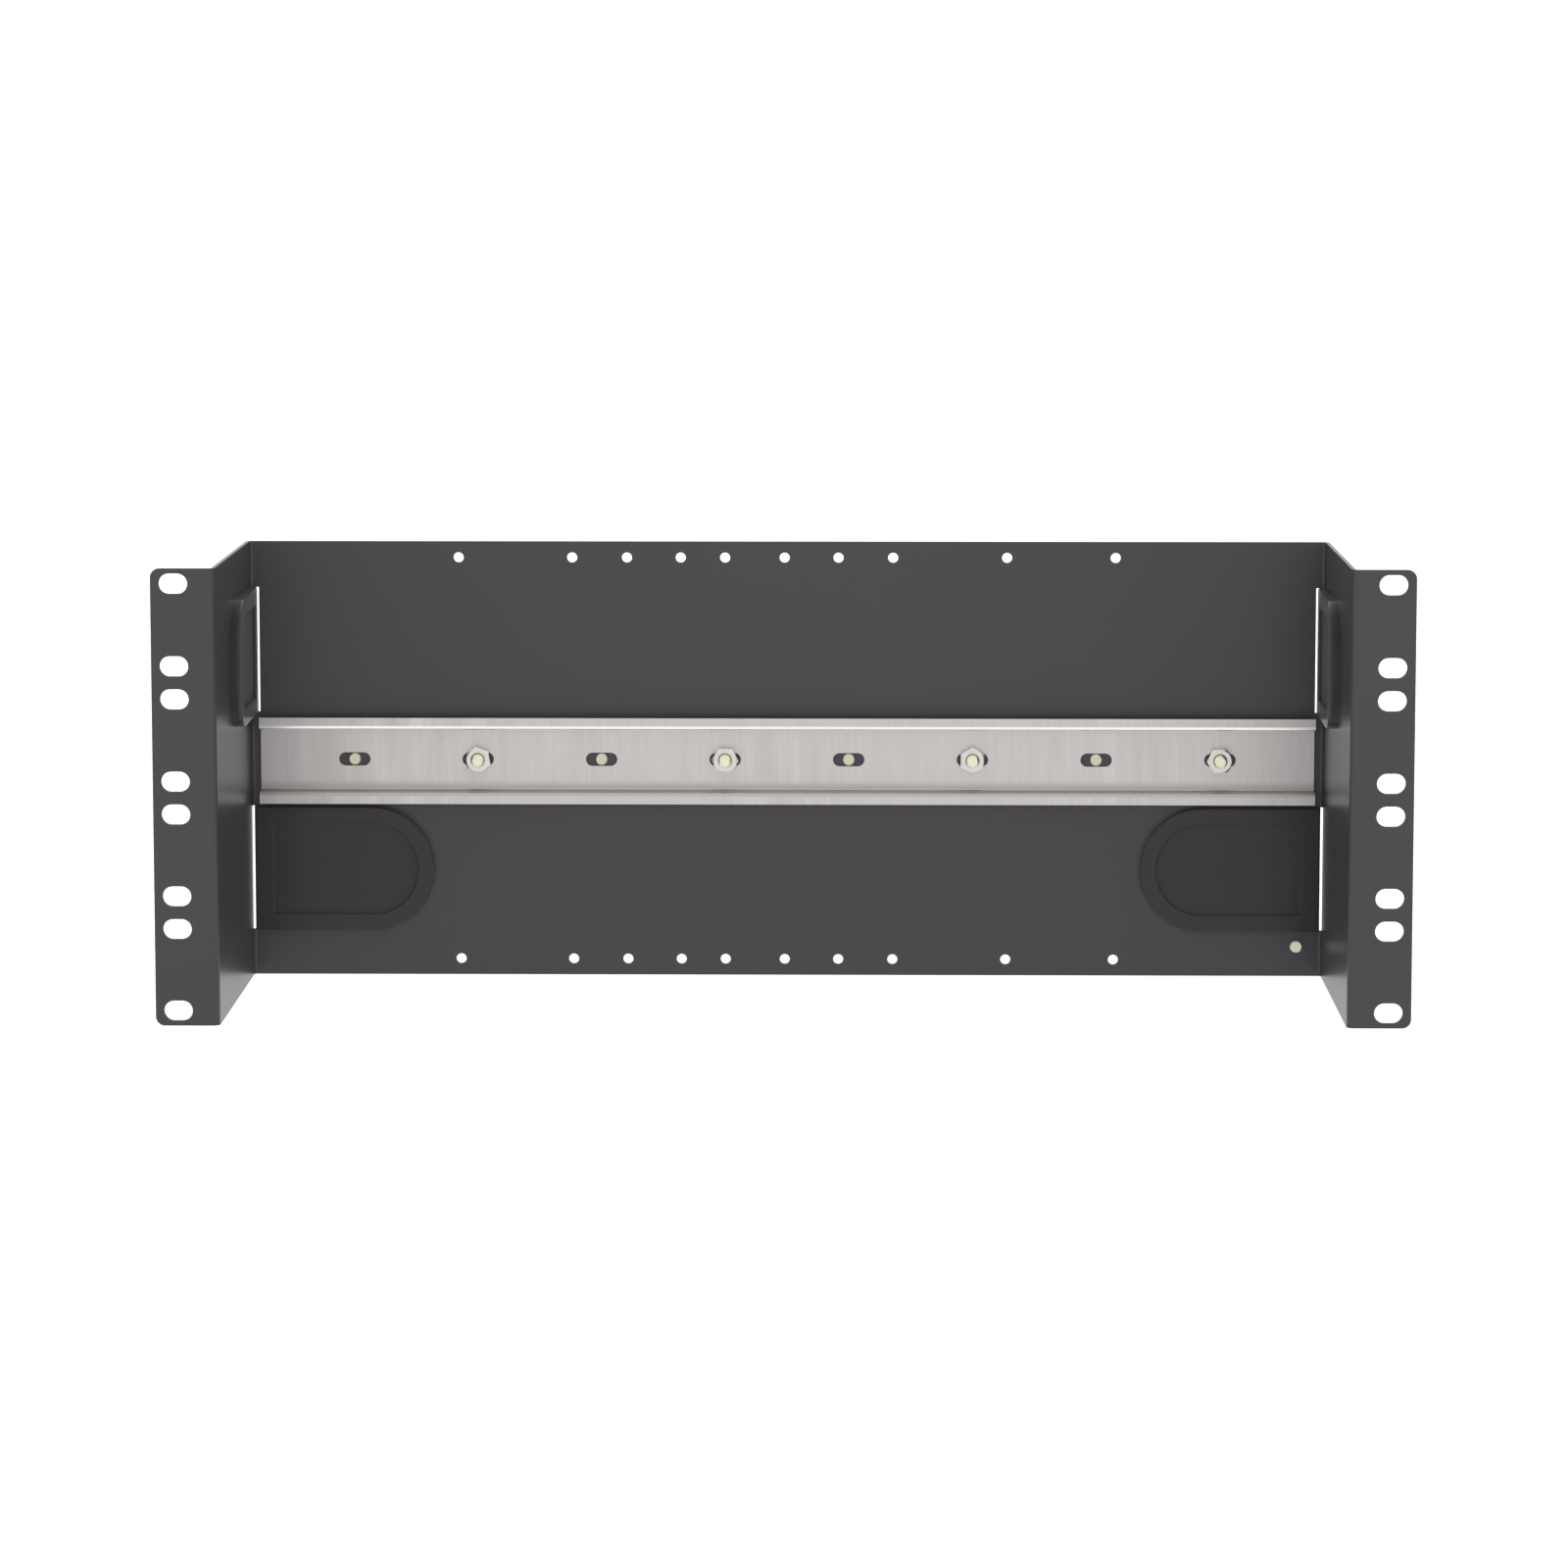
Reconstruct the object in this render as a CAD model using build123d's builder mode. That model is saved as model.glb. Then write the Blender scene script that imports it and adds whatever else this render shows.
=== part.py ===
from build123d import *
import os

# DIN rail bracket for a 19 inch rack: a folded steel pan, 4 units high, with a 35 mm top-hat rail
# nutted to welded studs, an earth pin, and four D-shaped blind grommets at the corners.
# X runs to the right, Y from the front of the rack to the back and Z up. The origin lies on the
# front face of the ears, in the middle of the rack's hole pattern. All sizes are in millimetres.

# Folded sheet
sheet_thickness = 1.5
bracket_width = 482.6        # over both ears
ear_width = 23.1             # from the outer face of a wall to the edge of its ear
bracket_depth = 118.5        # front of the ears to the back of the rear panel
inner_bend_radius = 1.25
ear_corner_radius = 3.5

# Rack pattern: the ears have a slot above and below each border between rack units
rack_unit_height = 44.45
unit_count = 4
height_clearance = 1.0       # what the bracket is lower than its rack units
slot_border_distance = 6.35
slot_edge_distance = 8.75    # middle of a slot to the edge of its ear
slot_length = 11.0
slot_width = 7.8

# Round holes in two rows along the rear panel
hole_diameter = 4.1
hole_edge_distance = 6.5
hole_columns = (-132.4, -86.6, -64.5, -42.8, -24.9, -0.9, 20.8, 42.8, 88.7, 132.4)

# DIN rail, top-hat section
rail_end_clearance = 3.7     # to the wall at each end
rail_height = 35.0
rail_depth = 7.5
rail_channel_height = 27.0   # over the outer faces of the channel
rail_thickness = 1.0
rail_bend_radius = 0.8
rail_slot_pitch = 50.0
rail_slot_count = 8
rail_slot_length = 12.7
rail_slot_width = 5.4

# Welded studs and the nuts that hold the rail
stud_diameter = 4.8
stud_length = 8.3
stud_chamfer = 0.5
nut_across_flats = 9.5
nut_height = 3.4
nut_corner_cut = 0.35        # taken off each corner by the turned front
nut_turns = (10.0, 27.0, 0.0, 33.0)   # from a corner straight up, in degrees
thread_clearance = 0.02

# Short welded pins: four locate the rail, one is the earth point
pin_diameter = 5.0
pin_length = 1.3
pin_chamfer = 0.4
earth_pin_wall_distance = 10.1
earth_pin_entry_distance = 6.4   # below the cut-out of the lower entry

# D-shaped cable entries in the corners, closed by blind grommets
entry_height = 50.6
entry_length = 72.5          # flat side of the grommet to the end of its round side
entry_rail_gap = 1.7         # between the rail and an entry, seen from the front
wall_entry_wrap = 3.5        # how far the upper cut-outs, in the walls, run into the rear panel
panel_entry_wrap = 1.7       # how far the lower cut-outs, in the rear panel, run into the walls
flat_side_clearance = 0.1    # between the bend and the flat side of the grommet
groove_clearance = 0.1
inner_lip_overlap = 0.4
inner_lip_height = 3.0
inner_lip_chamfer = 0.5
outer_lip_overlap = 2.4
outer_lip_height = 1.6
grommet_rim = 7.0            # from the edge of the inner lip to the membrane
grommet_flat_rim = 7.8       # the same along the flat side
membrane_thickness = 1.2

os.makedirs("parts", exist_ok=True)

bracket_height = unit_count * rack_unit_height - height_clearance
wall_outer_x = bracket_width / 2 - ear_width
wall_inner_x = wall_outer_x - sheet_thickness
panel_front_y = bracket_depth - sheet_thickness


def front_plane(y):
    """Plane square to Y, facing the front: its x is X, its y is Z."""
    return Plane((0, y, 0), x_dir=(1, 0, 0), z_dir=(0, -1, 0))


def wall_plane(side, x):
    """Plane along a wall, facing in: its x runs forward from the inner corner, its y is side * Z."""
    return Plane((side * x, panel_front_y, 0), x_dir=(0, -1, 0), z_dir=(-side, 0, 0))


def panel_plane(side, y):
    """Plane along the rear panel, facing the front: its x runs from the inner corner to the
    middle, its y is -side * Z."""
    return Plane((side * wall_inner_x, y, 0), x_dir=(-side, 0, 0), z_dir=(0, -1, 0))


def d_outline(flat_x, round_x, height):
    """D shape along the local x axis, from its flat side at flat_x to its round end at round_x."""
    radius = height / 2
    with BuildSketch() as outline:
        with BuildLine():
            Line((flat_x, -radius), (round_x - radius, -radius))
            ThreePointArc((round_x - radius, -radius), (round_x, 0), (round_x - radius, radius))
            Polyline((round_x - radius, radius), (flat_x, radius), (flat_x, -radius))
        make_face()
    return outline.sketch


# Bracket: ears, walls and rear panel, folded from one sheet
mid_wall_x = wall_outer_x - sheet_thickness / 2
mid_ear_y = sheet_thickness / 2
mid_panel_y = bracket_depth - sheet_thickness / 2
ear_slot_x = bracket_width / 2 - slot_edge_distance
slot_spacing = rack_unit_height - 2 * slot_border_distance
hole_z = bracket_height / 2 - hole_edge_distance
entry_z = rail_height / 2 + entry_rail_gap + entry_height / 2
flat_end = inner_bend_radius + flat_side_clearance
round_end = flat_end + entry_length
cut_out = d_outline(-2 * sheet_thickness, round_end, entry_height)
cut_through = 2 * sheet_thickness
with BuildPart() as bracket:
    with BuildSketch(Plane.XY.offset(-bracket_height / 2)):
        with BuildLine():
            FilletPolyline(
                (-bracket_width / 2, mid_ear_y),
                (-mid_wall_x, mid_ear_y),
                (-mid_wall_x, mid_panel_y),
                (mid_wall_x, mid_panel_y),
                (mid_wall_x, mid_ear_y),
                (bracket_width / 2, mid_ear_y),
                radius=inner_bend_radius + sheet_thickness / 2,
            )
        trace(line_width=sheet_thickness)
    extrude(amount=bracket_height)

    # Rounded outer corners of the ears
    ear_edges = bracket.edges().filter_by(Axis.Y).group_by(Axis.X)
    fillet(ear_edges[0] + ear_edges[-1], radius=ear_corner_radius)

    # Slots for the rack's screws, one on each side of every border between rack units
    with BuildSketch(front_plane(sheet_thickness)):
        for unit in range(unit_count):
            unit_z = (unit - (unit_count - 1) / 2) * rack_unit_height
            with Locations((0, unit_z)):
                with GridLocations(2 * ear_slot_x, slot_spacing, 2, 2):
                    SlotOverall(slot_length, slot_width)
    extrude(amount=sheet_thickness, mode=Mode.SUBTRACT)

    # Round holes in the rear panel
    with BuildSketch(front_plane(bracket_depth)):
        for column_x in hole_columns:
            with Locations((column_x, -hole_z), (column_x, hole_z)):
                Circle(hole_diameter / 2)
    extrude(amount=sheet_thickness, mode=Mode.SUBTRACT)

    # Cable entries that run round the bends: the upper pair in the walls, the lower in the panel
    for side in (-1, 1):
        with BuildSketch(wall_plane(side, wall_inner_x - wall_entry_wrap)):
            with Locations((0, side * entry_z)):
                add(cut_out)
        extrude(amount=-wall_entry_wrap - cut_through, mode=Mode.SUBTRACT)
        with BuildSketch(panel_plane(side, panel_front_y - panel_entry_wrap)):
            with Locations((0, side * entry_z)):
                add(cut_out)
        extrude(amount=-panel_entry_wrap - cut_through, mode=Mode.SUBTRACT)
bracket.part.label = "bracket"
export_step(bracket.part, "parts/bracket.step")

# Rail: top-hat section folded from strip, with a row of slots
mid_web_y = panel_front_y - rail_thickness / 2
mid_flange_y = panel_front_y - rail_depth + rail_thickness / 2
mid_channel_z = (rail_channel_height - rail_thickness) / 2
rail_length = 2 * (wall_inner_x - rail_end_clearance)
with BuildPart() as din_rail:
    with BuildSketch(Plane.YZ.offset(-rail_length / 2)):
        with BuildLine():
            FilletPolyline(
                (mid_flange_y, -rail_height / 2),
                (mid_flange_y, -mid_channel_z),
                (mid_web_y, -mid_channel_z),
                (mid_web_y, mid_channel_z),
                (mid_flange_y, mid_channel_z),
                (mid_flange_y, rail_height / 2),
                radius=rail_bend_radius + rail_thickness / 2,
            )
        trace(line_width=rail_thickness)
    extrude(amount=rail_length)
    with BuildSketch(front_plane(panel_front_y)):
        with GridLocations(rail_slot_pitch, 1, rail_slot_count, 1):
            SlotOverall(rail_slot_length, rail_slot_width)
    extrude(amount=rail_thickness, mode=Mode.SUBTRACT)
din_rail.part.label = "din_rail"
export_step(din_rail.part, "parts/din_rail.step")


def make_pin(name, x, z):
    """Short pin welded to the front of the rear panel."""
    with BuildPart() as pin:
        with BuildSketch(front_plane(panel_front_y)):
            with Locations((x, z)):
                Circle(pin_diameter / 2)
        extrude(amount=pin_length)
        chamfer(pin.faces().sort_by(Axis.Y)[0].edges(), length=pin_chamfer)
    pin.part.label = name
    export_step(pin.part, f"parts/{name}.step")


def make_stud(name, x):
    """Threaded stud welded to the rear panel, through a slot of the rail."""
    with BuildPart() as stud:
        with BuildSketch(front_plane(panel_front_y)):
            with Locations((x, 0)):
                Circle(stud_diameter / 2)
        extrude(amount=stud_length)
        chamfer(stud.faces().sort_by(Axis.Y)[0].edges(), length=stud_chamfer)
    stud.part.label = name
    export_step(stud.part, f"parts/{name}.step")


def make_nut(name, x, turn):
    """Hex nut on a stud, against the rail's web, with the corners of its front turned off."""
    flat_radius = nut_across_flats / 2
    corner_radius = RegularPolygon(flat_radius, 6, major_radius=False).radius
    front_radius = corner_radius - nut_corner_cut
    with BuildPart() as nut:
        with BuildSketch(front_plane(panel_front_y - rail_thickness)):
            with Locations((x, 0)):
                RegularPolygon(flat_radius, 6, major_radius=False, rotation=90 + turn)
                Circle(stud_diameter / 2 + thread_clearance, mode=Mode.SUBTRACT)
        extrude(amount=nut_height)
        with BuildSketch(front_plane(panel_front_y - rail_thickness)):
            with Locations((x, 0)):
                Circle(front_radius + nut_height)
        extrude(amount=nut_height, taper=45, mode=Mode.INTERSECT)
    nut.part.label = name
    export_step(nut.part, f"parts/{name}.step")


# Fixings in the rail's slots, pins and nutted studs by turns, and the earth point
for slot in range(rail_slot_count):
    slot_x = (slot - (rail_slot_count - 1) / 2) * rail_slot_pitch
    pair = slot // 2
    if slot % 2 == 0:
        make_pin(f"locating_pin_{pair + 1}", slot_x, 0)
    else:
        make_stud(f"rail_stud_{pair + 1}", slot_x)
        make_nut(f"rail_nut_{pair + 1}", slot_x, nut_turns[pair])
earth_pin_x = wall_inner_x - earth_pin_wall_distance
earth_pin_z = entry_z + entry_height / 2 + earth_pin_entry_distance
make_pin("earth_pin", earth_pin_x, -earth_pin_z)

# Blind grommets: two lips with the sheet's edge in the groove between them, and a thin membrane
lip_round_end = round_end + inner_lip_overlap
lip_height = entry_height + 2 * inner_lip_overlap
inner_lip = d_outline(flat_end, lip_round_end, lip_height)
groove = d_outline(flat_end, round_end - groove_clearance, entry_height - 2 * groove_clearance)
outer_lip = d_outline(
    flat_end, round_end + outer_lip_overlap, entry_height + 2 * outer_lip_overlap
)
membrane = d_outline(
    flat_end + grommet_flat_rim, lip_round_end - grommet_rim, lip_height - 2 * grommet_rim
)
membrane_depth = (sheet_thickness - membrane_thickness) / 2


def make_grommet(name, seat, local_y):
    """Grommet in the sheet whose inner face is the seat plane."""
    with BuildPart() as grommet:
        with BuildSketch(seat):
            with Locations((0, local_y)):
                add(inner_lip)
        extrude(amount=inner_lip_height)
        lip_face = grommet.faces().sort_by(Axis(seat.origin, seat.z_dir))[-1]
        chamfer(lip_face.edges(), length=inner_lip_chamfer)
        with BuildSketch(seat):
            with Locations((0, local_y)):
                add(groove)
        extrude(amount=-sheet_thickness)
        with BuildSketch(seat.offset(-sheet_thickness)):
            with Locations((0, local_y)):
                add(outer_lip)
        extrude(amount=-outer_lip_height)

        # Pockets on both sides leave the membrane in the plane of the sheet
        with BuildSketch(seat.offset(inner_lip_height)):
            with Locations((0, local_y)):
                add(membrane)
        extrude(amount=-inner_lip_height - membrane_depth, mode=Mode.SUBTRACT)
        with BuildSketch(seat.offset(-sheet_thickness - outer_lip_height)):
            with Locations((0, local_y)):
                add(membrane)
        extrude(amount=outer_lip_height + membrane_depth, mode=Mode.SUBTRACT)
    grommet.part.label = name
    export_step(grommet.part, f"parts/{name}.step")


for side, side_name in ((-1, "left"), (1, "right")):
    make_grommet(f"upper_{side_name}_grommet", wall_plane(side, wall_inner_x), side * entry_z)
    make_grommet(f"lower_{side_name}_grommet", panel_plane(side, panel_front_y), side * entry_z)
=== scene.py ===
import math

import bmesh
import bpy
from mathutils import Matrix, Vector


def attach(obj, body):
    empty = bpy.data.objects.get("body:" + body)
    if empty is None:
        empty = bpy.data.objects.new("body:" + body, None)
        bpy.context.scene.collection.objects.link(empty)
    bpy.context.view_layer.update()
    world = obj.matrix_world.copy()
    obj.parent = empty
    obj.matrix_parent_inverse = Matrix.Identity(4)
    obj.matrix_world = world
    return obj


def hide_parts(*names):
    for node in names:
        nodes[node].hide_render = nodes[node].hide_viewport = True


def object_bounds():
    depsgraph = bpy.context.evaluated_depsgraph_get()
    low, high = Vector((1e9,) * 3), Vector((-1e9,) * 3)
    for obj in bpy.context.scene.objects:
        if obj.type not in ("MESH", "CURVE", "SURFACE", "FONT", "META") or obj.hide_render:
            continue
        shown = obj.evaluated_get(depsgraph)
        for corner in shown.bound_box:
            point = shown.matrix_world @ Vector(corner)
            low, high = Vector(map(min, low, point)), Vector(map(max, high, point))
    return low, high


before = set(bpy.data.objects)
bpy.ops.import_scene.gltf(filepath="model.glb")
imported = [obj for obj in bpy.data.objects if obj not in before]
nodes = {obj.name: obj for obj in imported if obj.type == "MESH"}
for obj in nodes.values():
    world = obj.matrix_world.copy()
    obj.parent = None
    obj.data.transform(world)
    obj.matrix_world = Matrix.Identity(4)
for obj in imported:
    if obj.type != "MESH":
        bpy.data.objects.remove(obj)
cad_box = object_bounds()
bpy.ops.object.select_all(action="DESELECT")


# Camera: two metres in front of the bracket and above it, looking a little down, with a long
# lens. The shift frames the bracket as the photograph does.
MM = 0.001
IMAGE_WIDTH = 1600
SENSOR_WIDTH = 36
FAR_END = 50
FOCAL_PIXELS = 5343.9
PRINCIPAL_POINT = (809.6, 693.8)
CAMERA_PLACE = (30.6 * MM, -1984.4 * MM, 277.7 * MM)
CAMERA_PITCH = math.radians(-6.659)
CAMERA_YAW = math.radians(0.763)

bpy.ops.object.camera_add(location=CAMERA_PLACE)
camera = bpy.context.object
camera.name = "camera"
camera.rotation_euler = (math.pi / 2 + CAMERA_PITCH, 0, CAMERA_YAW)
camera.data.sensor_width = SENSOR_WIDTH
camera.data.lens = FOCAL_PIXELS / IMAGE_WIDTH * SENSOR_WIDTH
camera.data.shift_x = (IMAGE_WIDTH / 2 - PRINCIPAL_POINT[0]) / IMAGE_WIDTH
camera.data.shift_y = (PRINCIPAL_POINT[1] - IMAGE_WIDTH / 2) / IMAGE_WIDTH
camera.data.clip_end = FAR_END
bpy.context.scene.camera = camera
bpy.context.scene.view_settings.view_transform = "Standard"


# Shader maths: a socket wrapped so that +, -, * and / add Math nodes. A Finish is one material,
# and its node() adds any other node from its type, its settings and its sockets' values.
class Socket:
    """A socket of a node tree, or what an expression on sockets gives."""

    def __init__(self, tree, output):
        self.tree = tree
        self.output = output

    def math(self, operation, first, second):
        math_node = self.tree.nodes.new("ShaderNodeMath")
        math_node.operation = operation
        for place, value in enumerate((first, second)):
            if isinstance(value, Socket):
                self.tree.links.new(value.output, math_node.inputs[place])
            else:
                math_node.inputs[place].default_value = value
        return Socket(self.tree, math_node.outputs[0])

    def __add__(self, other):
        return self.math("ADD", self, other)

    def __sub__(self, other):
        return self.math("SUBTRACT", self, other)

    def __rsub__(self, other):
        return self.math("SUBTRACT", other, self)

    def __mul__(self, other):
        return self.math("MULTIPLY", self, other)

    __radd__ = __add__
    __rmul__ = __mul__


class Finish:
    """One material and its nodes, or another node tree, such as the world's."""

    def __init__(self, name, tree=None):
        if tree is None:
            self.material = bpy.data.materials.new(name)
            self.material.use_nodes = True
            tree = self.material.node_tree
        self.tree = tree
        self.tree.nodes.clear()

    def node(self, kind, inputs, output=0, **settings):
        """Add a node: its settings first, then a value or a link for each socket."""
        new_node = self.tree.nodes.new(kind)
        for key, value in settings.items():
            setattr(new_node, key, value)
        for key, value in inputs.items():
            if isinstance(value, Socket):
                self.tree.links.new(value.output, new_node.inputs[key])
            else:
                new_node.inputs[key].default_value = value
        return Socket(self.tree, new_node.outputs[output]) if new_node.outputs else None

    def here(self, axis=None):
        """The place on the piece, or one axis of it."""
        place = self.node("ShaderNodeTexCoord", {}, "Object")
        if axis is None:
            return place
        return self.node("ShaderNodeSeparateXYZ", {0: place}, axis)

    def noise(self, scale, detail=2.0, stretch=(1, 1, 1)):
        """Noise from 0 to 1, with as many grains to a metre as scale says."""
        place = self.node("ShaderNodeMapping", {"Vector": self.here(), "Scale": stretch})
        return self.node("ShaderNodeTexNoise", {"Vector": place, "Scale": scale, "Detail": detail})

    def between(self, value, low, high):
        """0 where the value is low, 1 where it is high, with a smooth step."""
        inputs = {"Value": value, "From Min": low, "From Max": high}
        return self.node("ShaderNodeMapRange", inputs, interpolation_type="SMOOTHSTEP")

    def blend(self, factor, first, second):
        """The first colour where the factor is 0, the second where it is 1."""
        inputs = {0: factor}
        for place, colour in ((6, first), (7, second)):
            inputs[place] = colour if isinstance(colour, Socket) else (*colour, 1)
        return self.node("ShaderNodeMix", inputs, output=2, data_type="RGBA")

    def bump(self, height, distance, strength):
        """A normal for a relief that is distance deep where the height is 1."""
        inputs = {"Height": height, "Distance": distance, "Strength": strength}
        return self.node("ShaderNodeBump", inputs)

    def surface(self, **inputs):
        """Give the material its shader, and return it."""
        values = {key.replace("_", " "): value for key, value in inputs.items()}
        shader = self.node("ShaderNodeBsdfPrincipled", values)
        self.node("ShaderNodeOutputMaterial", {"Surface": shader})
        return self.material


def dress(piece, material):
    """Give a piece one material in place of what it had."""
    piece.data.materials.clear()
    piece.data.materials.append(material)


# Studio: a white floor and a white world, which light the bracket evenly from all round, and a
# soft box by the camera, which lights the inner corners. The floor and the world are plain white
# to the camera and in reflections.
FLOOR_SIZE = 12.0
FLOOR_COLOUR = (0.72, 0.72, 0.72, 1)
FLOOR_ROUGHNESS = 0.9
FLOOR_GLOW = 0.50
FLOOR_WHITENING = 0.35
WORLD_LEVEL = 0.68
BOX_PLACE = (0.2, -2.2, 0.4)
BOX_SIZE = 1.0
BOX_POWER = 13.0

bpy.ops.mesh.primitive_plane_add(size=FLOOR_SIZE, location=(0, 0, cad_box[0][2]))
floor = bpy.context.object
floor.name = "floor"
paper = Finish("white_paper")
seen = paper.node("ShaderNodeLightPath", {}, "Is Camera Ray")
mirrored = paper.node("ShaderNodeLightPath", {}, "Is Glossy Ray")
lit_paper = paper.node(
    "ShaderNodeBsdfPrincipled",
    {
        "Base Color": FLOOR_COLOUR,
        "Roughness": FLOOR_ROUGHNESS,
        "Emission Color": seen * FLOOR_WHITENING + FLOOR_GLOW,
        "Emission Strength": 1.0,
    },
)
plain_white = paper.node("ShaderNodeEmission", {"Color": (1, 1, 1, 1), "Strength": 1.0})
both = paper.node("ShaderNodeMixShader", {0: mirrored, 1: lit_paper, 2: plain_white})
paper.node("ShaderNodeOutputMaterial", {"Surface": both})
dress(floor, paper.material)
bpy.ops.object.select_all(action="DESELECT")

world = bpy.data.worlds.new("studio")
bpy.context.scene.world = world
world.use_nodes = True
sky = Finish("sky", world.node_tree)
seen = sky.node("ShaderNodeLightPath", {}, "Is Camera Ray")
mirrored = sky.node("ShaderNodeLightPath", {}, "Is Glossy Ray")
white = (seen + mirrored) * (1.0 - WORLD_LEVEL) + WORLD_LEVEL
glow = sky.node("ShaderNodeBackground", {"Color": (1, 1, 1, 1), "Strength": white})
sky.node("ShaderNodeOutputWorld", {"Surface": glow})

bpy.ops.object.light_add(type="AREA", location=BOX_PLACE)
soft_box = bpy.context.object
soft_box.name = "soft_box"
soft_box.data.size = BOX_SIZE
soft_box.data.energy = BOX_POWER
soft_box.visible_glossy = False
tilt = math.atan2(-BOX_PLACE[1], BOX_PLACE[2])
turn = math.atan2(BOX_PLACE[0], -BOX_PLACE[1])
soft_box.rotation_euler = (tilt, 0, turn)
bpy.ops.object.select_all(action="DESELECT")


# Bracket: one sheet of steel, folded after its slots, holes and entries were punched. Its dark
# grey powder coat has a soft sheen and a faint orange-peel surface.
PAINT_DARK = (0.048, 0.044, 0.050)
PAINT_LIGHT = (0.053, 0.049, 0.055)
CLOUD_SCALE = 9.0
PEEL_SCALE = 420.0
PEEL_DEPTH = 0.003 * MM
PAINT_ROUGHNESS = 0.27
PAINT_IOR = 1.40

paint = Finish("dark_paint")
cloud = paint.noise(CLOUD_SCALE, detail=3.0)
peel = paint.noise(PEEL_SCALE)
dress(
    nodes["bracket"],
    paint.surface(
        Base_Color=paint.blend(cloud, PAINT_DARK, PAINT_LIGHT),
        Roughness=cloud * 0.04 + PAINT_ROUGHNESS,
        IOR=PAINT_IOR,
        Normal=paint.bump(peel, PEEL_DEPTH, 0.4),
    ),
)


# Rail: cold-rolled strip, zinc plated, with a faint grain that runs across the rail, and rolled
# to a top-hat section. Its upper bend is painted lighter, a painted highlight, and is glossier;
# the lower part of its channel is painted darker, a painted shade.
RAIL_DARK = (0.50, 0.48, 0.47)
RAIL_LIGHT = (0.70, 0.68, 0.665)
# Painted highlight: the colour the upper bend is painted, lighter than the plating.
BEND_HIGHLIGHT_COLOUR = (0.97, 0.95, 0.94)
# Painted shade: the colour the lower channel and its bend are painted, darker than the plating.
CHANNEL_SHADE_COLOUR = (0.50, 0.48, 0.47)
BEND_EDGE_Z = 14.5 * MM
BEND_FULL_Z = 13.9 * MM
BEND_INSIDE_Z = 11.6 * MM
SHADE_INSIDE_Z = 8.0 * MM
GRAIN_SCALE = 900.0
GRAIN_DEPTH = 0.02 * MM
GRAIN_CONTRAST = 0.45
BAND_SCALE = 110.0
BAND_CONTRAST = 0.25
PATCH_SCALE = 16.0
PATCH_LEVELS = (0.40, 0.66)
PATCH_CONTRAST = 1.5
RAIL_ROUGHNESS = 0.36

plate = Finish("rail_steel")
grain = plate.noise(GRAIN_SCALE, detail=3.0, stretch=(1, 1, 0.05))
bands = plate.noise(BAND_SCALE, detail=4.0, stretch=(1, 1, 0.14))
patches = plate.between(plate.noise(PATCH_SCALE, detail=1.0), *PATCH_LEVELS)
band_contrast = patches * PATCH_CONTRAST + BAND_CONTRAST
streaks = 0.5 + (grain - 0.5) * GRAIN_CONTRAST + (bands - 0.5) * band_contrast
height = plate.here("Z")
upper_edge = plate.between(height, BEND_EDGE_Z, BEND_FULL_Z)
# Painted highlight: a band on the upper bend is painted lighter, standing in for its reflection of
# the bright floor below.
painted_bend_highlight = upper_edge * plate.between(height, BEND_INSIDE_Z, BEND_INSIDE_Z + MM)
lower_edge = plate.between(height, -BEND_EDGE_Z, -BEND_FULL_Z)
# Painted shade: the lower part of the web and the lower bend are painted darker, where the
# channel's corner is shaded.
painted_channel_shade = lower_edge * plate.between(height, -SHADE_INSIDE_Z, -BEND_INSIDE_Z)
steel = plate.blend(streaks, RAIL_DARK, RAIL_LIGHT)
steel = plate.blend(painted_channel_shade, steel, CHANNEL_SHADE_COLOUR)
dress(
    nodes["din_rail"],
    plate.surface(
        Base_Color=plate.blend(painted_bend_highlight, steel, BEND_HIGHLIGHT_COLOUR),
        Metallic=1.0,
        Roughness=(bands * 0.10 + RAIL_ROUGHNESS) * (1 - painted_bend_highlight * 0.5),
        Normal=plate.bump(grain, GRAIN_DEPTH, 0.4),
    ),
)


# Pins: short round ends welded to the panel, plated a pale yellow. The earth pin's end is
# given brighter colours than the locating pins' ends.
PIN_COLOURS = {
    "locating_pin": ((0.57, 0.57, 0.42), (0.66, 0.66, 0.50)),
    "earth_pin": ((0.74, 0.74, 0.60), (0.82, 0.82, 0.68)),
}
PLATING_SCALE = 600.0
PLATING_METALLIC = 0.8
PLATING_ROUGHNESS = 0.32


def plated(name, dark, light):
    """A plating between two pale colours, for pins and studs."""
    pale = Finish(name)
    return pale.surface(
        Base_Color=pale.blend(pale.noise(PLATING_SCALE), dark, light),
        Metallic=PLATING_METALLIC,
        Roughness=PLATING_ROUGHNESS,
    )


for kind, colours in PIN_COLOURS.items():
    plating = plated(kind + "_plating", *colours)
    for name, node in nodes.items():
        if name.startswith(kind):
            dress(node, plating)


# Studs: steel studs with a rolled thread, welded to the panel like the pins and plated like them.
# One turn of thread is swept into a long one, cut to length, and its end is turned to a chamfer.
STUD_DARK = (0.76, 0.76, 0.56)
STUD_LIGHT = (0.87, 0.87, 0.67)
STUD_RADIUS = 2.4 * MM
THREAD_ROOT = 1.97 * MM
THREAD_PITCH = 0.8 * MM
THREAD_STEPS = 28
THREAD_START = 1.3 * THREAD_PITCH
END_DEPTH = 0.05 * MM
END_SLOPE = 1.2
STUD_SMOOTH_ANGLE = math.radians(30)
NEAR = 0.01 * MM
STUD_LENGTH = 8.3 * MM
STUD_FOOT_Y = 117.0 * MM
STUD_PITCH = 100 * MM
FIRST_STUD_X = -125 * MM
STUD_COUNT = 4

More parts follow.
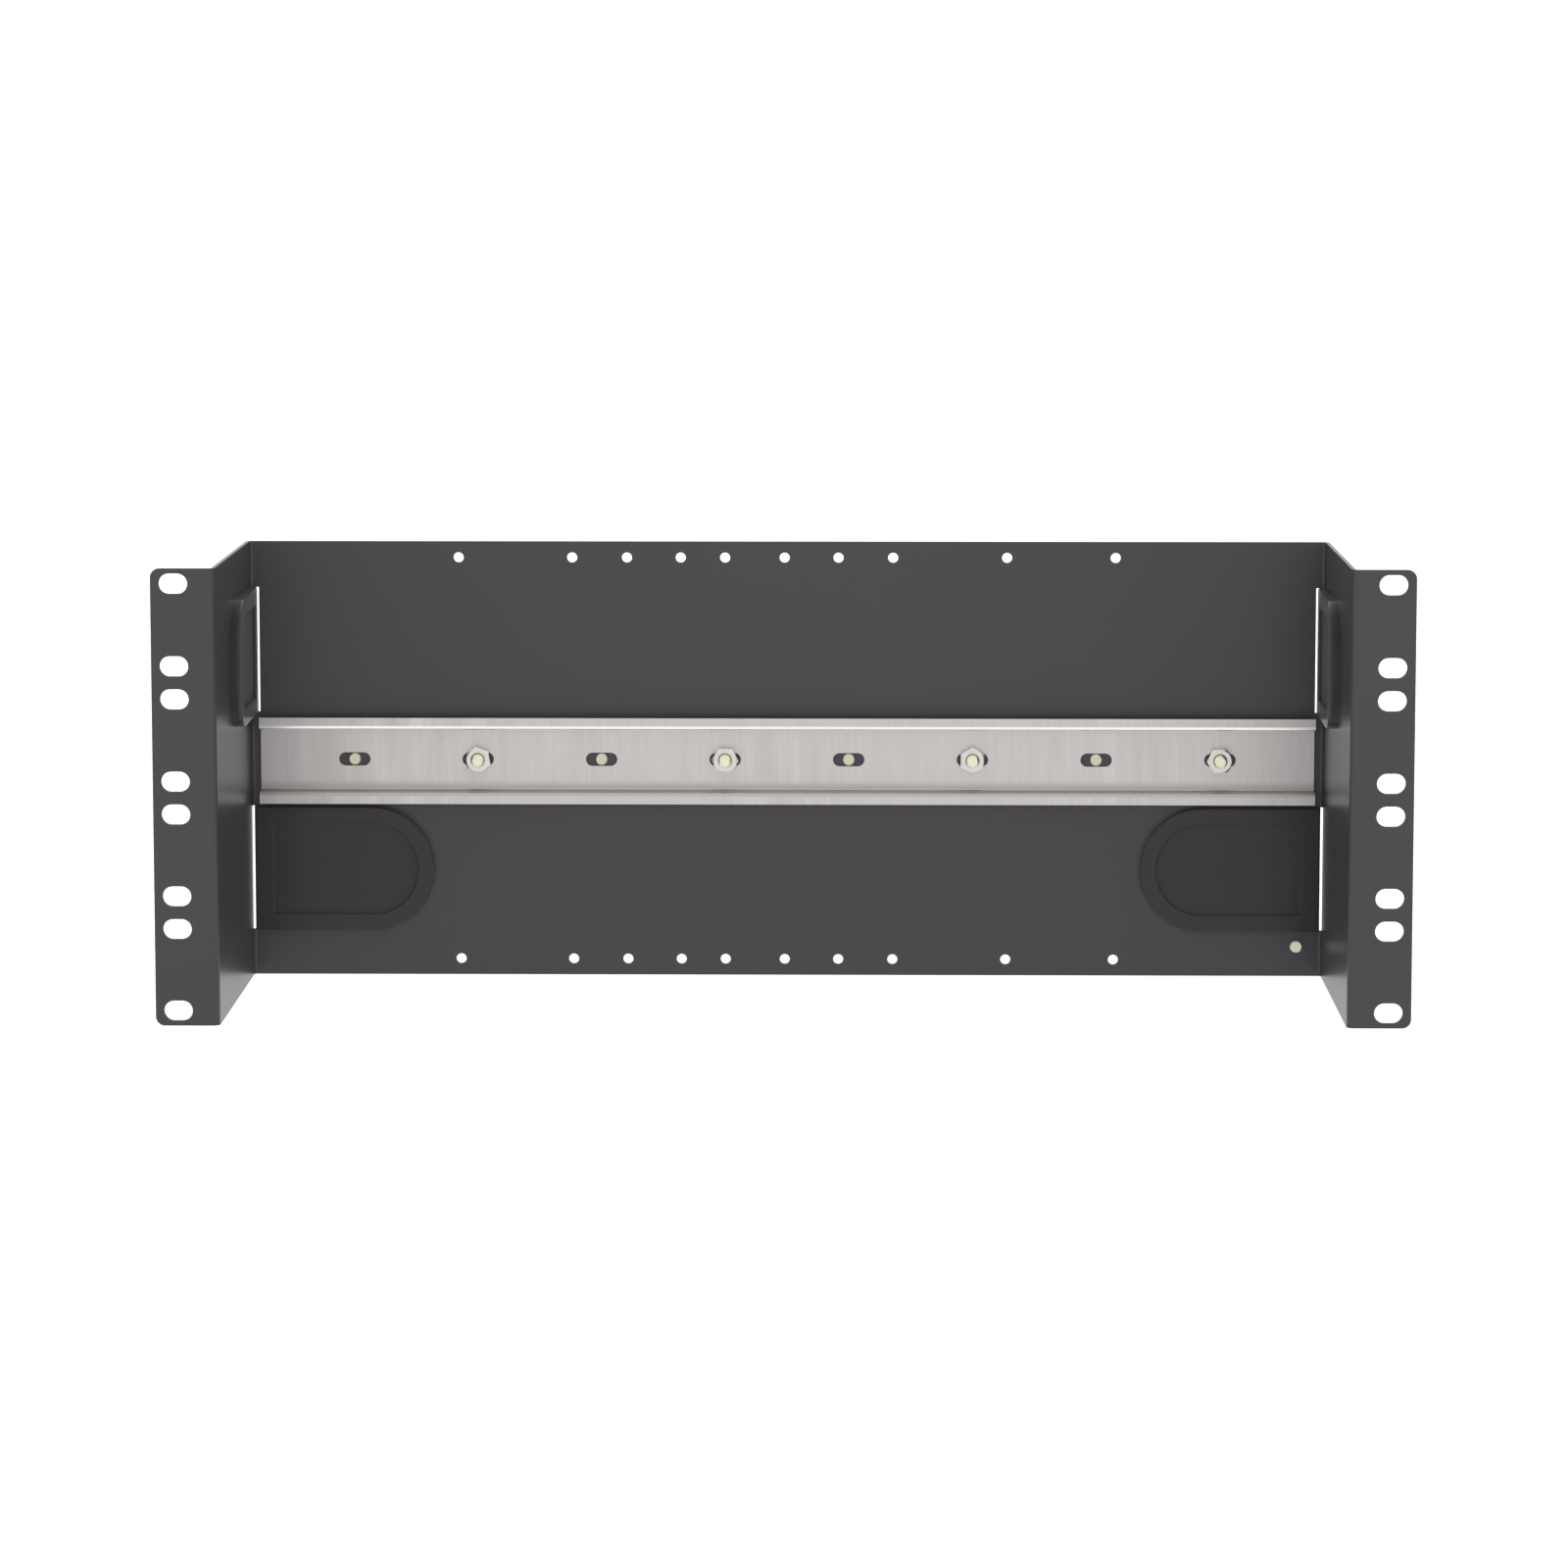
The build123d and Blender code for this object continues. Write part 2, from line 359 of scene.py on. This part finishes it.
profile = [
    (THREAD_ROOT, 0.0),
    (THREAD_ROOT, 0.1 * THREAD_PITCH),
    (STUD_RADIUS, 0.45 * THREAD_PITCH),
    (STUD_RADIUS, 0.55 * THREAD_PITCH),
    (THREAD_ROOT, 0.9 * THREAD_PITCH),
    (THREAD_ROOT, THREAD_PITCH),
]
thread = bpy.data.meshes.new("thread")
outline = [(i, i + 1) for i in range(len(profile) - 1)]
thread.from_pydata([(radius, 0, z) for radius, z in profile], outline, [])
stud = bpy.data.objects.new("stud_thread_1", thread)
bpy.context.collection.objects.link(stud)
bpy.context.view_layer.objects.active = stud
stud.select_set(True)
turns = stud.modifiers.new("turns", "SCREW")
turns.axis = "Z"
turns.angle = 2 * math.pi
turns.screw_offset = THREAD_PITCH
turns.iterations = math.ceil(STUD_LENGTH / THREAD_PITCH) + 2
turns.steps = THREAD_STEPS
turns.render_steps = THREAD_STEPS
bpy.ops.object.modifier_apply(modifier="turns")
bpy.ops.object.mode_set(mode="EDIT")
bpy.ops.mesh.select_all(action="SELECT")
bpy.ops.mesh.remove_doubles(threshold=NEAR)
stud_top = THREAD_START + STUD_LENGTH
for height, direction in ((THREAD_START, -1), (stud_top, 1)):
    bpy.ops.mesh.select_all(action="SELECT")
    bpy.ops.mesh.bisect(
        plane_co=(0, 0, height),
        plane_no=(0, 0, direction),
        use_fill=True,
        clear_outer=True,
        threshold=NEAR / 10,
    )
bpy.ops.mesh.select_all(action="SELECT")
bpy.ops.mesh.normals_make_consistent(inside=False)
bpy.ops.object.mode_set(mode="OBJECT")
for vertex in stud.data.vertices:
    radius = math.hypot(vertex.co.x, vertex.co.y)
    widest = THREAD_ROOT - END_DEPTH + END_SLOPE * (stud_top - vertex.co.z)
    if radius > widest:
        vertex.co.x *= widest / radius
        vertex.co.y *= widest / radius
stud.rotation_euler = (math.pi / 2, 0, 0)
stud.location = (0, STUD_FOOT_Y + THREAD_START, 0)
bpy.ops.object.transform_apply(location=True, rotation=True, scale=True)
bpy.ops.object.shade_smooth_by_angle(angle=STUD_SMOOTH_ANGLE)
dress(stud, plated("stud_plating", STUD_DARK, STUD_LIGHT))


def copy_of(piece, name):
    """A copy of a piece with its own mesh."""
    twin = piece.copy()
    twin.data = piece.data.copy()
    twin.name = name
    bpy.context.collection.objects.link(twin)
    return twin


def set_down(piece, location, turn=(0, 0, 0)):
    """Move and turn a piece, and put its place in its mesh."""
    bpy.ops.object.select_all(action="DESELECT")
    bpy.context.view_layer.objects.active = piece
    piece.select_set(True)
    piece.location = location
    piece.rotation_euler = turn
    bpy.ops.object.transform_apply(location=True, rotation=True, scale=True)
    piece.select_set(False)


for number in range(STUD_COUNT):
    piece = copy_of(stud, f"threaded_stud_{number + 1}")
    set_down(piece, (FIRST_STUD_X + number * STUD_PITCH, 0, 0))
    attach(piece, "root")
    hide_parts(f"rail_stud_{number + 1}")
bpy.data.objects.remove(stud)


# Nuts: zinc plated hex nuts, tightened on the rail's web, so each stands at another turn. Both
# faces are turned off at the corners at 30 degrees, and the thread's mouths are countersunk.
NUT_FLATS = 9.5 * MM
NUT_HEIGHT = 3.4 * MM
NUT_SEAT_Y = 116.0 * MM
NUT_TURNS = (10.0, 27.0, 0.0, 33.0)
NUT_BORE = 2.46 * MM
COUNTERSINK = 0.4 * MM
FACE_RADIUS = 4.45 * MM
BLANK_RADIUS = 5.6 * MM
CORNER_ROUNDING = 0.12 * MM
CORNER_SLOPE = math.tan(math.radians(30))
TURNED_SIDES = 72
NUT_SMOOTH_ANGLE = math.radians(25)
NUT_DARK = (0.64, 0.63, 0.60)
NUT_LIGHT = (0.80, 0.78, 0.75)
MOTTLE_SCALE = 500.0
SHINE_SCALE = 300.0
ZINC_ROUGHNESS = 0.26

zinc = Finish("nut_zinc")
zinc_surface = zinc.surface(
    Base_Color=zinc.blend(zinc.noise(MOTTLE_SCALE), NUT_DARK, NUT_LIGHT),
    Metallic=1.0,
    Roughness=zinc.noise(SHINE_SCALE) * 0.12 + ZINC_ROUGHNESS,
)


def pick(test, chosen_only=False):
    """Select the vertices whose place passes the test, and what lies between them."""
    mesh = bpy.context.edit_object.data
    shape = bmesh.from_edit_mesh(mesh)
    chosen = [v for v in shape.verts if test(v.co) and (v.select or not chosen_only)]
    for part in (*shape.verts, *shape.edges, *shape.faces):
        part.select_set(False)
    for vertex in chosen:
        vertex.select_set(True)
    shape.select_flush_mode()
    bmesh.update_edit_mesh(mesh)


def turned(name, radius, end_radius, slope):
    """A round bar as long as the nut, with both ends turned to another radius."""
    depth = abs(radius - end_radius) * slope
    bpy.ops.mesh.primitive_cylinder_add(vertices=TURNED_SIDES, radius=radius, depth=NUT_HEIGHT)
    bar = bpy.context.object
    bar.name = name
    bpy.ops.object.mode_set(mode="EDIT")
    for side in (-1, 1):
        end = side * NUT_HEIGHT / 2
        bpy.ops.mesh.select_all(action="SELECT")
        bpy.ops.mesh.bisect(
            plane_co=(0, 0, end - side * depth),
            plane_no=(0, 0, 1),
            threshold=NEAR / 10,
        )
        pick(lambda p: abs(p.z - end) < NEAR)
        bpy.ops.transform.resize(value=(end_radius / radius, end_radius / radius, 1))
    bpy.ops.object.mode_set(mode="OBJECT")
    return bar


def cut_with(piece, tool, operation):
    """Apply a Boolean modifier, and remove its tool."""
    cut = piece.modifiers.new("cut", "BOOLEAN")
    cut.operation = operation
    cut.solver = "EXACT"
    cut.object = tool
    bpy.context.view_layer.objects.active = piece
    bpy.ops.object.modifier_apply(modifier="cut")
    bpy.data.objects.remove(tool)


across_corners = NUT_FLATS / math.cos(math.radians(30))
bpy.ops.mesh.primitive_cylinder_add(vertices=6, radius=across_corners / 2, depth=NUT_HEIGHT)
nut = bpy.context.object
nut.name = "nut_blank"
bpy.ops.object.mode_set(mode="EDIT")
bpy.ops.mesh.select_mode(type="EDGE")
shape = bmesh.from_edit_mesh(nut.data)
for edge in shape.edges:
    edge.select_set(abs(edge.verts[0].co.z - edge.verts[1].co.z) > NUT_HEIGHT / 2)
bmesh.update_edit_mesh(nut.data)
bpy.ops.mesh.bevel(offset=CORNER_ROUNDING, segments=2, affect="EDGES")
bpy.ops.mesh.select_mode(type="VERT")
bpy.ops.object.mode_set(mode="OBJECT")
corners = turned("turned_corners", BLANK_RADIUS, FACE_RADIUS, CORNER_SLOPE)
cut_with(nut, corners, "INTERSECT")
bore = turned("threaded_bore", NUT_BORE, NUT_BORE + COUNTERSINK, 1.0)
cut_with(nut, bore, "DIFFERENCE")
set_down(nut, (0, NUT_SEAT_Y - NUT_HEIGHT / 2, 0), (math.pi / 2, 0, 0))
nut.select_set(True)
bpy.ops.object.shade_smooth_by_angle(angle=NUT_SMOOTH_ANGLE)
dress(nut, zinc_surface)
for number, turn in enumerate(NUT_TURNS):
    piece = copy_of(nut, f"hex_nut_{number + 1}")
    place = (FIRST_STUD_X + number * STUD_PITCH, 0, 0)
    set_down(piece, place, (0, -math.radians(turn), 0))
    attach(piece, "root")
    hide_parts(f"rail_nut_{number + 1}")
bpy.data.objects.remove(nut)


# Grommets: moulded in black rubber, with a lip on each side of the sheet, a groove between them
# and a thin closed middle. They are pushed into the D-shaped entries from the outside. The inner
# lip grows towards the arc, and a narrow slit stays open between the flat side and the bend.
WALL_X = 216.7 * MM
PANEL_Y = 117.0 * MM
SHEET = 1.5 * MM
ENTRY_Z = 44.5 * MM
FLAT_X = -WALL_X + 0.95 * MM
ARC_CENTRE_X = -WALL_X + 48.55 * MM
INNER_RADIUS = 25.4 * MM
GROOVE_RADIUS = 25.2 * MM
OUTER_RADIUS = 27.7 * MM
POCKET_RADIUS = 18.7 * MM
FLAT_RIM = 7.8 * MM
INNER_LIP = 3.0 * MM
OUTER_LIP = 1.6 * MM
ARC_LIP_GROWTH = 0.38
POCKET_DEPTH = 1.3 * MM
MEMBRANE = 1.2 * MM
POCKET_ROUNDING = 0.4 * MM
INNER_ROUNDING = 0.9 * MM
OUTER_ROUNDING = 0.8 * MM
ARC_POINTS = 96
POCKET_SLACK = 0.1 * MM
GROMMET_SMOOTH_ANGLE = math.radians(35)
RUBBER_DARK = (0.032, 0.0275, 0.032)
RUBBER_LIGHT = (0.037, 0.032, 0.037)
RUBBER_CLOUD_SCALE = 40.0
RUBBER_SHINE_SCALE = 60.0
RUBBER_GRAIN_SCALE = 700.0
RUBBER_GRAIN_DEPTH = 0.01 * MM
RUBBER_ROUGHNESS = 0.20
RUBBER_IOR = 1.33

rubber = Finish("grommet_rubber")
rubber_surface = rubber.surface(
    Base_Color=rubber.blend(rubber.noise(RUBBER_CLOUD_SCALE), RUBBER_DARK, RUBBER_LIGHT),
    Roughness=rubber.noise(RUBBER_SHINE_SCALE) * 0.05 + RUBBER_ROUGHNESS,
    IOR=RUBBER_IOR,
    Sheen_Weight=0.08,
    Sheen_Roughness=0.4,
    Normal=rubber.bump(rubber.noise(RUBBER_GRAIN_SCALE), RUBBER_GRAIN_DEPTH, 0.3),
)


def extrude(y):
    """Extrude what is selected along y."""
    bpy.ops.mesh.extrude_region_move(TRANSFORM_OT_translate={"value": (0, y, 0)})


def widen(depth, factor):
    """Scale the chosen outline about the middle of its arc. Its flat side stays in place."""
    middle = (ARC_CENTRE_X, depth, -ENTRY_Z)
    bpy.ops.transform.resize(value=(1, 1, factor), center_override=middle)
    pick(lambda p: p.x > FLAT_X + MM, chosen_only=True)
    bpy.ops.transform.resize(value=(factor, 1, 1), center_override=middle)
    radius = OUTER_RADIUS if factor > 1 else GROOVE_RADIUS
    pick(lambda p: abs(p.y - depth) < NEAR and is_rim(p, radius))


def is_rim(p, radius):
    """Whether a place lies on the D-shaped outline of this radius."""
    if p.x < FLAT_X + NEAR:
        return abs(abs(p.z + ENTRY_Z) - radius) < NEAR
    out = math.hypot(p.x - ARC_CENTRE_X, p.z + ENTRY_Z)
    return p.x > ARC_CENTRE_X - NEAR and abs(out - radius) < NEAR


def is_pocket(p, depth):
    """Whether a place lies on the pocket's outline at this depth."""
    if abs(p.y - depth) > NEAR:
        return False
    if p.x < ARC_CENTRE_X - MM:
        return abs(p.x - FLAT_X - FLAT_RIM) < NEAR
    out = math.hypot(p.x - ARC_CENTRE_X, p.z + ENTRY_Z)
    return abs(out - POCKET_RADIUS) < POCKET_SLACK


def sink_pocket(depth, radius, amount):
    """Inset the chosen face to the pocket's outline and push its middle in."""
    rim = radius - POCKET_RADIUS
    bpy.ops.mesh.inset(thickness=rim, depth=0)
    pick(lambda p: abs(p.y - depth) < NEAR and abs(p.x - FLAT_X - rim) < NEAR)
    bpy.ops.transform.translate(value=(FLAT_RIM - rim, 0, 0))
    pick(lambda p: is_pocket(p, depth))
    extrude(amount)


front = PANEL_Y - INNER_LIP
back = PANEL_Y + SHEET + OUTER_LIP
bpy.ops.object.select_all(action="DESELECT")
bpy.ops.mesh.primitive_circle_add(
    vertices=ARC_POINTS,
    radius=INNER_RADIUS,
    location=(ARC_CENTRE_X, front, -ENTRY_Z),
    rotation=(math.pi / 2, 0, 0),
)
first_grommet = bpy.context.object
bpy.ops.object.transform_apply(location=True, rotation=True, scale=True)
bpy.ops.object.mode_set(mode="EDIT")
bpy.ops.mesh.select_mode(type="VERT")
pick(lambda p: p.x < ARC_CENTRE_X - NEAR)
bpy.ops.mesh.delete(type="VERT")
pick(lambda p: p.x < ARC_CENTRE_X + NEAR)
bpy.ops.mesh.extrude_vertices_move(
    TRANSFORM_OT_translate={"value": (FLAT_X - ARC_CENTRE_X, 0, 0)}
)
bpy.ops.mesh.edge_face_add()
bpy.ops.mesh.select_all(action="SELECT")
bpy.ops.mesh.edge_face_add()

# The front: a rim round a pocket, which ends at the thin middle
sink_pocket(front, INNER_RADIUS, POCKET_DEPTH)

# The outside: down to the sheet, through its groove, and out over the back of the sheet
pick(lambda p: abs(p.y - front) < NEAR and is_rim(p, INNER_RADIUS))
extrude(INNER_LIP)
extrude(0)
widen(PANEL_Y, GROOVE_RADIUS / INNER_RADIUS)
extrude(SHEET)
extrude(0)
widen(PANEL_Y + SHEET, OUTER_RADIUS / GROOVE_RADIUS)
extrude(OUTER_LIP)
bpy.ops.mesh.edge_face_add()
sink_pocket(back, OUTER_RADIUS, front + POCKET_DEPTH + MEMBRANE - back)

# The lips' edges are rounded
for depth, radius, rounding in (
    (front, INNER_RADIUS, INNER_ROUNDING),
    (back, OUTER_RADIUS, OUTER_ROUNDING),
):
    pick(lambda p: is_pocket(p, depth))
    bpy.ops.mesh.bevel(offset=POCKET_ROUNDING, segments=3, affect="EDGES")
    pick(lambda p: abs(p.y - depth) < NEAR and is_rim(p, radius))
    bpy.ops.mesh.bevel(offset=rounding, segments=6, affect="EDGES")
bpy.ops.mesh.select_all(action="SELECT")
bpy.ops.mesh.normals_make_consistent(inside=False)
bpy.ops.object.mode_set(mode="OBJECT")
bpy.ops.object.shade_smooth_by_angle(angle=GROMMET_SMOOTH_ANGLE)

# The inner lip grows towards the arc, and the flat faces get flat shading
for vertex in first_grommet.data.vertices:
    vertex.co.x = max(vertex.co.x, FLAT_X)
    vertex.co.y = min(max(vertex.co.y, front), back)
    vertex.co.z = min(max(vertex.co.z, -ENTRY_Z - OUTER_RADIUS), -ENTRY_Z + OUTER_RADIUS)
    if vertex.co.y < PANEL_Y:
        along = (vertex.co.x - FLAT_X) / (ARC_CENTRE_X + INNER_RADIUS - FLAT_X)
        vertex.co.y -= (PANEL_Y - vertex.co.y) * ARC_LIP_GROWTH * along
flat_faces = first_grommet.modifiers.new("flat_faces", "WEIGHTED_NORMAL")
flat_faces.keep_sharp = True
bpy.ops.object.modifier_apply(modifier="flat_faces")
dress(first_grommet, rubber_surface)

# The same moulding four times: the lower pair in the panel, the upper pair in the walls
ACROSS = WALL_X - PANEL_Y
GROMMET_PLACES = {
    "lower_left": ((0, 0, 0), (0, 0, 0)),
    "lower_right": ((0, 0, -2 * ENTRY_Z), (0, math.pi, 0)),
    "upper_left": ((-ACROSS, -ACROSS, 0), (0, math.pi, math.pi / 2)),
    "upper_right": ((ACROSS, -ACROSS, 2 * ENTRY_Z), (0, 0, -math.pi / 2)),
}
for corner, (location, turn) in GROMMET_PLACES.items():
    piece = copy_of(first_grommet, corner + "_blind_grommet")
    set_down(piece, location, turn)
    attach(piece, "root")
    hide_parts(corner + "_grommet")
bpy.data.objects.remove(first_grommet)
